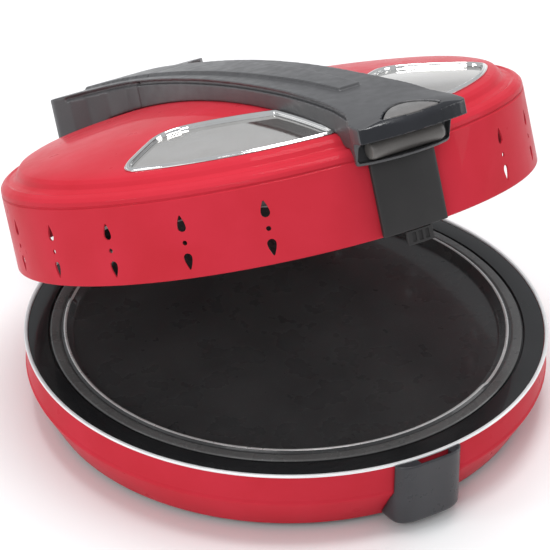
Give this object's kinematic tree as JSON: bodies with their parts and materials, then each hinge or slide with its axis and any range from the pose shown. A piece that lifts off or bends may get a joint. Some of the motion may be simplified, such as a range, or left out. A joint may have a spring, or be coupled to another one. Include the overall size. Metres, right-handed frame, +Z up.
{
  "type": "countertop pizza oven",
  "caption": "Round electric pizza oven for a countertop: a red base with a lift-out pan, and a red domed lid with windows and a handle, on a rear hinge.",
  "frame": {"origin": "on the worktop, under the middle of the closed box round the whole oven as it stands open; the round body's own axis is 30 mm in front of it", "axes": "+Z up, -Y to the front where the handle's nose is, +Y to the hinge, +X to the right seen from the front"},
  "size_m": [0.3606, 0.4345, 0.2895],
  "materials": {
    "red_enamel": "glossy crimson enamel with a faint pearl",
    "black_steel": "satin black coated steel sheet",
    "foot_rubber": "matt black rubber",
    "plain_steel": "plain zinc-plated steel",
    "trim_metal": "bright satin aluminium",
    "black_enamel": "glossy black enamel",
    "reflector_sheet": "bright aluminised steel",
    "heating_tube": "dark oxidised heating tube",
    "ceramic": "unglazed off-white ceramic",
    "lead_sleeve": "woven glass-fibre sleeve",
    "bracket_plastic": "black moulded plastic with a fine grain",
    "non_stick": "semi-gloss black non-stick coating with fine speckle",
    "bezel_chrome": "polished chrome",
    "window_glass": "clear toughened glass",
    "handle_plastic": "charcoal moulded plastic, satin",
    "strap_plastic": "black moulded plastic, matt",
    "indicator_lens": "smoked translucent plastic, glossy"
  },
  "bodies": {
    "base": {"base_shell": "red_enamel", "bottom_cover": "black_steel", "foot_front_left": "foot_rubber", "foot_front_right": "foot_rubber", "foot_rear_left": "foot_rubber", "foot_rear_right": "foot_rubber", "foot_screw_front_left": "plain_steel", "foot_screw_front_right": "plain_steel", "foot_screw_rear_left": "plain_steel", "foot_screw_rear_right": "plain_steel", "trim_ring": "trim_metal", "heater_well": "black_enamel", "lower_reflector": "reflector_sheet", "lower_element": "heating_tube", "lower_bush_left": "ceramic", "lower_bush_right": "ceramic", "lower_clip_front": "plain_steel", "lower_clip_left": "plain_steel", "lower_clip_right": "plain_steel", "thermostat": "ceramic", "junction_block": "ceramic", "base_leads": "lead_sleeve", "front_bracket": "bracket_plastic", "hinge_housing": "bracket_plastic", "hinge_pin": "plain_steel", "cord_gland": "foot_rubber"},
    "pan": {"pizza_pan": "non_stick"},
    "lid": {"lid_shell": "red_enamel", "lid_liner": "reflector_sheet", "upper_element": "heating_tube", "upper_bush_left": "ceramic", "upper_bush_right": "ceramic", "upper_clip_front": "plain_steel", "upper_clip_left": "plain_steel", "upper_clip_right": "plain_steel", "window_bezel_left": "bezel_chrome", "window_bezel_right": "bezel_chrome", "window_pane_left": "window_glass", "window_pane_right": "window_glass", "window_retainer_left": "plain_steel", "window_retainer_right": "plain_steel", "handle": "handle_plastic", "grip_bar": "handle_plastic", "indicator_lens": "indicator_lens", "indicator_lamp": "ceramic", "front_strap": "strap_plastic", "locating_tab": "strap_plastic", "rear_cover": "handle_plastic", "lid_leads": "lead_sleeve", "handle_screw_1": "plain_steel", "handle_screw_2": "plain_steel", "handle_screw_3": "plain_steel", "cover_screw_1": "plain_steel", "cover_screw_2": "plain_steel"}
  },
  "joints": [
    {"name": "lid_hinge", "type": "hinge", "parent": "base", "child": "lid", "pos_m": [0, 0.17, 0.0635], "axis": [-1, 0, 0], "range_deg": [-23.7, 51.3]},
    {"name": "pan_lift", "type": "slide", "parent": "base", "child": "pan", "axis": [0, 0, 1], "range_m": [0, 0.03]}
  ]
}
